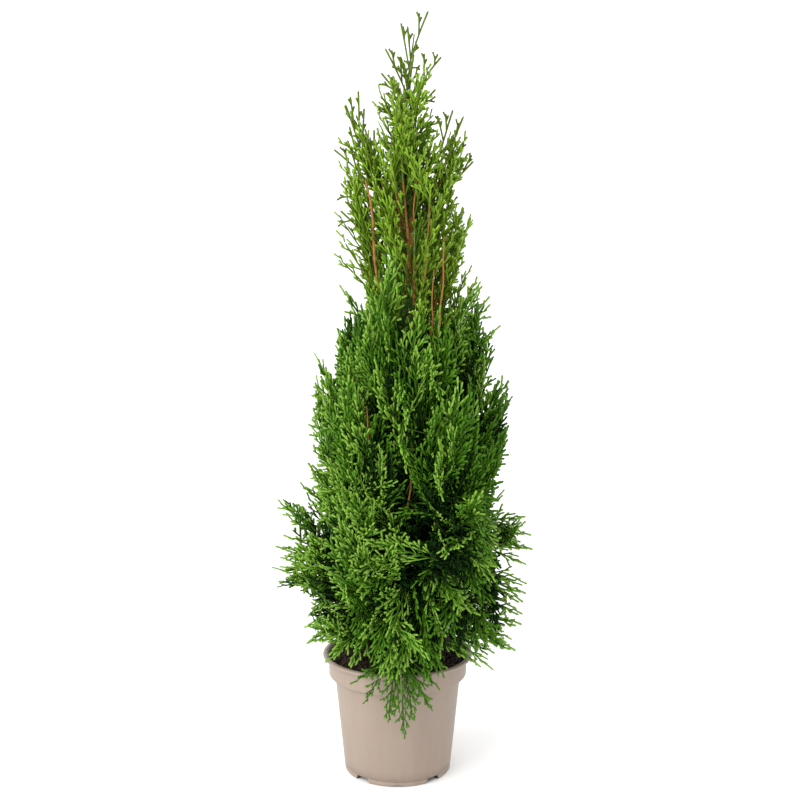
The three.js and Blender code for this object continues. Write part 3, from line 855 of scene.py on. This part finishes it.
# first branchlet, gap between branchlets, their angle off the rib, the
# longest one, bend, gap and length of their twigs, where these begin
FROND_HABITS = {
    "full": (0.006, 0.0063, (33, 46), 0.46, 0.14, 0.0112, (0.0110, 0.0158), 0.30),
    "fan": (0.004, 0.0059, (35, 52), 0.58, 0.18, 0.0108, (0.0102, 0.0145), 0.28),
    "inner": (0.008, 0.0080, (36, 48), 0.46, 0.12, 0.0300, (0.0110, 0.0140), 0.40),
    "lace": (0.010, 0.0056, (28, 42), 0.38, 0.10, 0.0085, (0.0065, 0.0105), 0.30),
    "open": (0.016, 0.0078, (26, 38), 0.32, 0.06, 0.0112, (0.0090, 0.0128), 0.32),
    "spray": (0.003, 0.0058, (28, 42), 0.42, 0.14, 0.0095, (0.0075, 0.0115), 0.30),
}


def make_frond(rng, kind, length):
    """One frond along +X in the XY plane: ribs, branchlets and twigs.

    Each is a list of (start, run, bow, place along the frond).
    """
    first, gap, angles, widest, bend, twig_gap, twig_lengths, twigs_from = FROND_HABITS[kind]
    first = min(first, 0.45 * length)
    bow = np.array([0, rng.normal(0, 0.05), rng.normal(0, 0.05)]) * length
    ribs = [(np.zeros(3), np.array([length, 0, 0]), bow, 0.5)]
    branchlets, twigs = [], []
    count = max(int((length - first) / gap), 3)
    for i in range(count):
        along = (i + rng.uniform(-0.25, 0.25)) / (count - 1)
        x = first + (length * 0.955 - first) * along
        base = np.array([x, 0, 0]) + bow * (x / length) ** 2
        hand = 1 if i % 2 else -1
        angle = math.radians(rng.uniform(*angles) * (1.10 - 0.25 * x / length))
        fan = (1 - 0.72 * max(along, 0) ** 1.1) * min(1.0, 0.70 + 1.4 * max(along, 0))
        if kind == "open":
            fan = 1 - 0.55 * max(along, 0) ** 1.2
        reach = widest * length * fan * rng.uniform(0.8, 1.12)
        run = np.array([math.cos(angle), hand * math.sin(angle), rng.normal(0, 0.10)]) * reach
        curl = np.array([0.10, -hand * bend, rng.normal(0, 0.07)]) * reach
        branchlets.append((base, run, curl, x / length))
        shoots = int(reach * (1 - twigs_from) / twig_gap * 1.3 + rng.uniform(0.3, 0.9))
        for j in range(max(shoots, 1)):
            u = twigs_from + (0.84 - twigs_from) * (j + 0.3) / max(shoots - 0.3, 0.7)
            side = hand * (1 if j % 2 else -1)
            local = run + 2 * curl * u
            turn = math.atan2(local[1], local[0]) + side * math.radians(rng.uniform(28, 40))
            spot = base + run * u + curl * u * u
            short = rng.uniform(*twig_lengths) * (1.1 - 0.3 * u)
            aim = np.array([math.cos(turn), math.sin(turn), rng.normal(0, 0.16)]) * short
            twigs.append((spot, aim, np.array([0.05, -side * 0.06, 0]) * short, x / length + 0.3 * u))
    return [[np.array([p[i] for p in parts], float) for i in range(4)] for parts in (ribs, branchlets, twigs)]


frond_rng = np.random.default_rng(2024)
FROND_SIZES = {
    "full": (0.046, 0.060, 0.074, 0.088), "fan": (0.044, 0.054, 0.064),
    "inner": (0.060, 0.085), "open": (0.045, 0.062, 0.080, 0.095),
    "lace": (0.045, 0.060, 0.080), "spray": (0.032,),
}
fronds = {
    (kind, size): [make_frond(frond_rng, kind, size) for _ in range(6)]
    for kind, sizes in FROND_SIZES.items() for size in sizes
}

TWIG_HALF_WIDTH = 0.00162
TWIG_WIDTHS = {"lace": 0.68, "spray": 0.88, "open": 0.94, "inner": 1.1}
SHADED_BELOW = 0.18
HALF_SHADED_BELOW = 0.55
RIB_PROFILE = ([0, 0.3, 0.6, 0.93, 1.0], [0.85, 0.85, 0.9, 0.95])
BRANCHLET_PROFILE = ([0, 0.64, 0.96, 1.0], [0.72, 0.92, 1.08])
TWIG_PROFILE = ([0, 0.50, 0.88, 1.0], [0.70, 0.92, 1.08])
frond_shapes = {}


def frond_frame(rng, shoot):
    """A frond's own axes: along it, across it in its plane, and out of it.

    Most stand on edge, in a plane through the trunk. Others lie like tiles
    with one face to the light, on the front and the back more than between.
    """
    aim = shoot["aim"]
    face = unit(shoot["out"] - aim * aim.dot(shoot["out"]))
    edge = np.cross(face, aim)
    facing = shoot["out"][1] ** 2 / max(shoot["out"][0] ** 2 + shoot["out"][1] ** 2, 1e-6)
    tiled = "fixed" in shoot or (rng.uniform() < 0.15 + 0.62 * facing and not shoot.get("on_edge"))
    twist = rng.normal(0 if tiled else math.pi / 2, math.radians(24))
    side = edge * math.cos(twist) + face * math.sin(twist)
    return np.stack([aim, side, np.cross(aim, side)])


for shoot in shoots:
    shoot_rng = np.random.default_rng(shoot["seed"])
    shoot["frame"] = frond_frame(shoot_rng, shoot)
    sizes = FROND_SIZES[shoot["kind"]]
    size = min(sizes, key=lambda s: abs(s - shoot["length"]))
    shoot["parts"] = fronds[shoot["kind"], size][shoot_rng.integers(6)]
    shoot["scale"] = shoot["length"] / size


def tips_of(shoot):
    """Where the twigs of a frond end."""
    start, run, bow, _ = shoot["parts"][2]
    return (start + run + bow) @ shoot["frame"] * shoot["scale"] + shoot["start"]


# a frond whose twigs stand too far out of the crown's outline is drawn in
for _ in range(5):
    loose = [s for s in shoots if "fixed" not in s]
    tips = [tips_of(s) for s in loose]
    ends = np.cumsum([len(t) for t in tips])
    held = inside_crown(np.concatenate(tips))
    for shoot, got in zip(loose, np.split(held, ends[:-1])):
        if got.mean() < (0.92 if shoot["light"] < SHADED_BELOW else 0.62):
            shoot["scale"] *= 0.96
            shoot["start"] = shoot["start"] - shoot["out"] * 0.005

BAND_RADIUS = 0.089
BAND_MARGIN = 0.010
RIM_HEIGHT = 0.155


def closes_opening(shoot):
    """Whether a frond fills air that stays free, or runs into the pot's wall."""
    x, y, z = tips_of(shoot).T
    in_wall = (np.abs(np.hypot(x, y) - BAND_RADIUS) < BAND_MARGIN) & (z < RIM_HEIGHT)
    if in_wall.any() and shoot["kind"] != "lace":
        return True
    x, z = x * (1 - OPENING_FLARE * y), z + OPENING_SLOPE * y
    return "fixed" not in shoot and any(
        ((x > low_x) & (x < high_x) & (z > low_z) & (z < high_z) & (y < depth)).mean() > 0.10
        for low_x, high_x, low_z, high_z, depth in np.array(OPENINGS) / 1000
    )


TWIG_RISE = 0.018
TWIG_OVERLAP = 0.010
SHORTEST_TWIG = 0.003
feet_held = inside_crown(np.array([s["start"] for s in shoots]))
shoots = [s for s, held in zip(shoots, feet_held) if (held or "fixed" in s) and not closes_opening(s)]
for shoot in shoots:
    below = shoot["start"] - (0, 0, TWIG_RISE)
    shoot["root"] = shoot["limb"][((shoot["limb"] - below) ** 2).sum(1).argmin()]
carried = [s for s in shoots if np.linalg.norm(s["start"] - s["root"]) > SHORTEST_TWIG]
begin = np.array([s["root"] for s in carried])
finish = np.array([s["start"] + s["aim"] * TWIG_OVERLAP for s in carried])
steps = np.array([0, 0.4, 0.8, 1.0])[None, :, None]
paths = begin[:, None] + (finish - begin)[:, None] * steps
# they sag in towards the trunk on the way
inward = -np.array([s["out"] for s in carried]) * np.linalg.norm(finish - begin, axis=1)[:, None]
paths += inward[:, None] * 0.8 * (steps - steps**2)
twig_radii = np.tile(np.array([0.00100, 0.00085, 0.0007]), (len(carried), 1))
verts, tris, _ = stems(paths, twig_radii, 1.0, np.tile([0.3, 0.2, 0.9], (len(carried), 1)))
foliage_nodes = [f"foliage_{mass['name']}" for mass in masses]
side_twigs = triangle_mesh("side_twigs", verts, tris)
place_piece("side_twigs", side_twigs, [green_wood], foliage_nodes)


def lay_stems(parts, profile, shoot, width):
    """A frond's ribs, branchlets or twigs laid in their place on the plant."""
    start, run, bow, _ = (p @ shoot["frame"] * shoot["scale"] if p.ndim == 2 else p for p in parts)
    t = np.array(profile[0])[None, :, None]
    paths = (shoot["start"] + start)[:, None, :] + run[:, None, :] * t + bow[:, None, :] * t**2
    radii = np.array(profile[1])[None, :] * np.full((len(start), 1), width)
    return stems(paths, radii, 0.66, np.repeat(shoot["frame"][2][None], len(start), axis=0))


def joined(shapes):
    """Several sets of vertices, triangles and their materials as one."""
    verts, tris, kinds = zip(*shapes)
    offsets = np.cumsum([0] + [len(v) for v in verts[:-1]])
    tris = [t + offset for t, offset in zip(tris, offsets)]
    return [np.concatenate(arrays) for arrays in (verts, tris, kinds)]


def lay_frond(rng, shoot):
    """Adds a frond's triangles to those of its kind, by the light it stands in."""
    ribs, branchlets, twigs = shoot["parts"]
    width = TWIG_HALF_WIDTH * rng.uniform(0.9, 1.08) * TWIG_WIDTHS.get(shoot["kind"], 1.0)
    light = shoot["light"]
    # painted light and shade: by its light a frond takes the sunlit, half-shaded ("grown") or shaded copy of
    # its greens
    shade = "shaded" if light < SHADED_BELOW else "grown" if light < HALF_SHADED_BELOW else "sunlit"
    bare = "open_" if shoot["kind"] == "open" else ""
    verts, tris, _ = lay_stems(ribs, RIB_PROFILE, shoot, width)
    shapes = [(verts, tris, np.zeros(len(tris), int))]
    for parts, profile in ((branchlets, BRANCHLET_PROFILE), (twigs, TWIG_PROFILE)):
        verts, tris, per = lay_stems(parts, profile, shoot, width)
        # branchlets and twigs near a frond's foot take the rib's darker green: older growth, and painted
        # shade towards the inside of the crown
        leaf = np.where(parts[3] + rng.normal(0, 0.1, len(parts[3])) > 0.25, 1, 0)
        kinds = np.repeat(leaf[:, None], per, axis=1)
        kinds[:, -(3 if bare else 9) :] = 2  # the last faces are new growth
        shapes.append((verts, tris, kinds.ravel()))
    frond_shapes.setdefault(bare + shade, []).append(joined(shapes))


for shoot in shoots:
    lay_frond(np.random.default_rng(shoot["seed"] + 1), shoot)

# The longest shoots of the top and of the two spires beside it: each has its
# foot, its tip and the forks that leave it, by their place on it and their tip.
LONG_SHOOTS = [
    ((19, 0, 895), (37, -2, 942), [(0.42, (26, 0, 940))]),
    ((15, 0, 868), (4, 0, 929), [(0.68, (9, -3, 918))]),
    ((17, 0, 870), (12, -4, 924), [(0.62, (15, -8, 913)), (0.3, (24, -6, 902))]),
    ((14, 0, 838), (-15, -5, 898), [(0.62, (-7, -8, 895)), (0.34, (3, -8, 888))]),
    ((18, 0, 842), (53, -6, 888), [(0.78, (45, -8, 888)), (0.45, (32, -9, 891))]),
    ((15, 0, 822), (-20, -8, 869), [(0.6, (-8, -12, 863)), (0.55, (-19, -3, 857))]),
    ((15, 0, 826), (25, -14, 866), [(0.6, (34, -16, 857))]),
    ((15, -1, 812), (46, -12, 849), [(0.6, (42, -6, 837))]),
    ((14, -1, 806), (-21, -8, 841), [(0.6, (-9, -12, 841)), (0.7, (-22, -3, 824))]),
    ((14, 0, 850), (20, 22, 896), [(0.5, (11, 24, 888)), (0.6, (27, 26, 880))]),
    ((12, -1, 812), (8, 32, 860), [(0.5, (18, 34, 852)), (0.6, (-4, 34, 846))]),
    ((-36, -2, 748), (-63, -4, 833), [(0.4, (-47, -8, 848)), (0.62, (-57, -2, 842)), (0.3, (-40, -12, 827))]),
    ((-34, 0, 738), (-78, 2, 780), [(0.62, (-66, -6, 780)), (0.4, (-61, 4, 791)), (0.3, (-58, -9, 806))]),
    ((-28, -6, 742), (-28, -14, 802), [(0.5, (-37, -18, 788)), (0.6, (-20, -20, 790))]),
    ((52, -2, 742), (80, -4, 819), [(0.72, (73, -8, 810)), (0.3, (84, 4, 786))]),
    ((46, -4, 752), (67, -10, 826), [(0.5, (48, -14, 818)), (0.66, (58, -12, 820)), (0.3, (70, -4, 794))]),
    ((50, 0, 714), (93, 2, 766), [(0.72, (90, -6, 772)), (0.5, (80, -8, 767))]),
    ((46, 4, 684), (74, 6, 724), [(0.6, (66, -4, 732)), (0.5, (68, 10, 712))]),
    ((14, 0, 838), (4, -6, 888), [(0.5, (-3, -8, 876)), (0.3, (8, -8, 880))]),
    ((14, 0, 836), (17, -8, 879), [(0.5, (24, -10, 868)), (0.4, (10, -10, 868))]),
    ((13, -1, 806), (-7, -12, 862), [(0.5, (0, -14, 850)), (0.4, (-12, -8, 846))]),
    ((-34, 4, 690), (-70, 4, 740), [(0.5, (-56, -4, 748)), (0.65, (-72, 10, 722))]),
    ((-30, -4, 664), (-70, -8, 706), [(0.5, (-56, -14, 712)), (0.7, (-71, 0, 690))]),
]
END_TWIG_LENGTH = 0.008
SHOOT_PLACES = np.array([0, 0.25, 0.5, 0.75, 0.96, 1.0])


def arched(begin, end, arch, power):
    """A shoot that bends upward on its way, by its share `arch` of its length."""
    share = SHOOT_PLACES[:, None]
    lift = np.array([0, 0, arch]) * np.linalg.norm(end - begin)
    return begin + (end - begin) * share**power + lift * (share - share**2)


paths = []
for foot, tip, forks in LONG_SHOOTS:
    rise = arched(np.array(foot) / 1000, np.array(tip) / 1000, 0.16, 1.15)
    paths.append(rise)
    for place_along, end in forks:
        end = np.array(end) / 1000
        begin = points_at(place_along, SHOOT_PLACES, rise)
        fork = arched(begin, end, 0.14, 1.0)
        paths.append(fork)
        # each fork ends in a pair of short blunt twigs
        for place_on, hand in ((0.5, 1), (0.74, -1)):
            root = points_at(place_on, SHOOT_PLACES, fork)
            aim = unit(end - begin) + hand * 0.42 * unit(np.cross(end - begin, (0, -1.0, 0.1)))
            paths.append(root + unit(aim) * END_TWIG_LENGTH * SHOOT_PLACES[:, None])
paths = np.array(paths)
widths = np.tile([0.0013, 0.00125, 0.0013, 0.0014, 0.0015], (len(paths), 1))
verts, tris, per = stems(paths, widths, 0.95, np.tile([0.1, -1.0, 0.1], (len(paths), 1)))
kinds = np.tile(np.where(np.arange(per) >= per - 3, 2, 0), len(paths))
frond_shapes.setdefault("open_grown", []).append((verts, tris, kinds))


def leaf_material(name, dark, light, rough):
    """One green in patches of 5 mm, with scale leaves of 1.5 mm in relief."""
    scales = (650.0, 0.5, 0.0004)
    return mottled(name, (180.0, 2.0), dark, light, rough, cells=scales, Specular_IOR_Level=0.10)


# Living scale leaves: a thin waxy skin over green, so a soft satin gleam. New
# growth at the tips is yellow-green, older ribs are deeper and browner, and darker
# still as painted shade. Each green comes as sunlit, half-shaded and shaded copies:
# painted light and shade.
tip_sunlit = leaf_material("sunlit_new_growth_yellow_green", "#668f2b", "#85aa45", 0.42)
leaf_sunlit = leaf_material("sunlit_scale_leaves", "#52821d", "#709c33", 0.46)
leaf_half_shaded = leaf_material("half_shaded_scale_leaves", "#31590b", "#487314", 0.48)
tip_half_shaded = leaf_material("half_shaded_twig_ends", "#3a6912", "#557f20", 0.46)
rib_of_lit_fronds = leaf_material("older_green_ribs_painted_shade", "#264b07", "#395f0e", 0.55)
leaf_shaded = leaf_material("shaded_scale_leaves", "#0a2102", "#143404", 0.55)
rib_shaded = leaf_material("shaded_green_ribs", "#051602", "#0d2403", 0.6)
leaf_open = leaf_material("olive_scale_leaves", "#628c1a", "#88aa33", 0.48)
leaf_behind = leaf_material("olive_leaves_in_shade", "#37580b", "#4e6e14", 0.5)
tip_open = leaf_material("olive_twig_ends", "#96b34e", "#b5ca74", 0.45)
leaf_shoot = leaf_material("olive_leader_shoots", "#465e0f", "#617a1a", 0.5)
tip_shoot = leaf_material("bronzed_shoot_tips", "#4e531c", "#696b27", 0.5)

# painted light and shade: "sunlit", "grown" (half-shaded) and "shaded" are lit and shaded copies of the same
# greens
FROND_KINDS = {
    "sunlit": ([rib_of_lit_fronds, leaf_sunlit, tip_sunlit], "young_foliage"),
    "grown": ([rib_of_lit_fronds, leaf_half_shaded, tip_half_shaded], "foliage"),
    "shaded": ([rib_shaded, leaf_shaded, leaf_shaded], "foliage"),
    "open_sunlit": ([leaf_shoot, leaf_open, tip_open], "young_foliage"),
    "open_grown": ([leaf_shoot, leaf_open, tip_shoot], "young_foliage"),
    "open_shaded": ([leaf_behind, leaf_behind, leaf_open], "young_foliage"),
}
MOST_TRIANGLES = 190000

for kind, (materials, slot) in FROND_KINDS.items():
    shapes = frond_shapes[kind]
    amounts = np.cumsum([len(s[1]) for s in shapes])
    pieces = int(amounts[-1] // MOST_TRIANGLES) + 1
    for piece in range(pieces):
        low, high = amounts[-1] * piece / pieces, amounts[-1] * (piece + 1) / pieces
        chosen = [s for s, a in zip(shapes, amounts) if low < a <= high]
        name = f"fronds_{kind}_{piece + 1}"
        place_piece(name, triangle_mesh(name, *joined(chosen)), materials, foliage_nodes)

# ---- Stage ----
# A plain pale floor, a soft white surround and one large soft lamp high on the
# left, as in a product studio.

floor_bm = bmesh.new()
sweep = [(-4.0, 0.0), (2.0, 0.0)]
for turn in np.radians(range(6, 91, 6)):
    sweep.append((2.0 + 1.5 * math.sin(turn), 1.5 - 1.5 * math.cos(turn)))
sweep += [(3.5, 5.0)]
line = [floor_bm.verts.new((-6.0, y, z)) for y, z in sweep]
edges = [floor_bm.edges.new(pair) for pair in zip(line, line[1:])]
grown = bmesh.ops.extrude_edge_only(floor_bm, edges=edges)["geom"]
bmesh.ops.translate(floor_bm, verts=[g for g in grown if isinstance(g, bmesh.types.BMVert)], vec=(12.0, 0, 0))
floor = linked("studio_floor", smooth_mesh("studio_floor", floor_bm))
white_card, tree, shader, _ = new_material("white_paper_sweep")
feed(tree, shader, Base_Color=linear("#fafafa"), Roughness=0.9)
floor.data.materials.append(white_card)

world = bpy.data.worlds.new("white_surround")
world.use_nodes = True
feed(world.node_tree, world.node_tree.nodes["Background"], Color=(1, 1, 1, 1), Strength=1.25)
bpy.context.scene.world = world

key = bpy.data.lights.new("soft_key", "AREA")
key.shape = "DISK"
key.size = 3.2
key.energy = 96
key_lamp = linked("soft_key", key)
key_lamp.location = (-2.3, -1.9, 2.0)
key_lamp.rotation_euler = (Vector((0, 0, 0.45)) - key_lamp.location).to_track_quat("-Z", "Y").to_euler()

camera = bpy.data.cameras.new("camera")
camera.sensor_width = 36
camera.lens = 36 * 1151 / 800
camera_object = linked("camera", camera)
camera_object.location = (0.003, -1.422, 0.639)
camera_object.rotation_euler = (math.radians(90 - 6.65), 0, 0)
bpy.context.scene.camera = camera_object
bpy.context.scene.view_settings.view_transform = "Standard"
